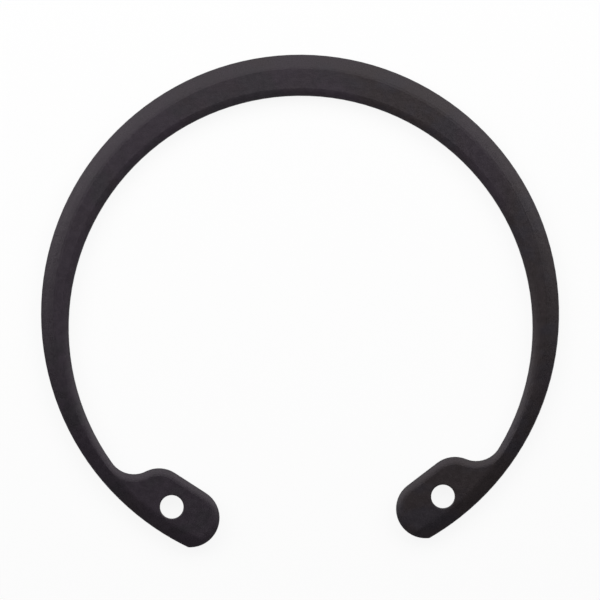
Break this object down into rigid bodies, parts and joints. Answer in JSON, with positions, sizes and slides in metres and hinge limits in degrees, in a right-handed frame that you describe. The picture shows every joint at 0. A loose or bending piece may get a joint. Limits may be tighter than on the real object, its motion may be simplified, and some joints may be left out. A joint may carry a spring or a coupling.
{
  "type": "circlip retaining ring",
  "caption": "Flat open spring ring that holds parts in a bore: wide at the back, thinner toward rounded lugs with plier holes, with a bevelled upper rim.",
  "frame": {"origin": "on the axis of the rim's circle, at the lower face that the ring lies on", "axes": "+Z along the rim's axis, out of the bevelled upper face; +Y toward the wide back, so the gap is toward -Y; +X completes it"},
  "size_m": [0.044, 0.0415, 0.0016],
  "materials": {
    "black_spring_steel": "dark phosphate coat on spring steel, oiled, semi-matt"
  },
  "bodies": {
    "root": {"retaining_ring": "black_spring_steel"}
  },
  "joints": []
}
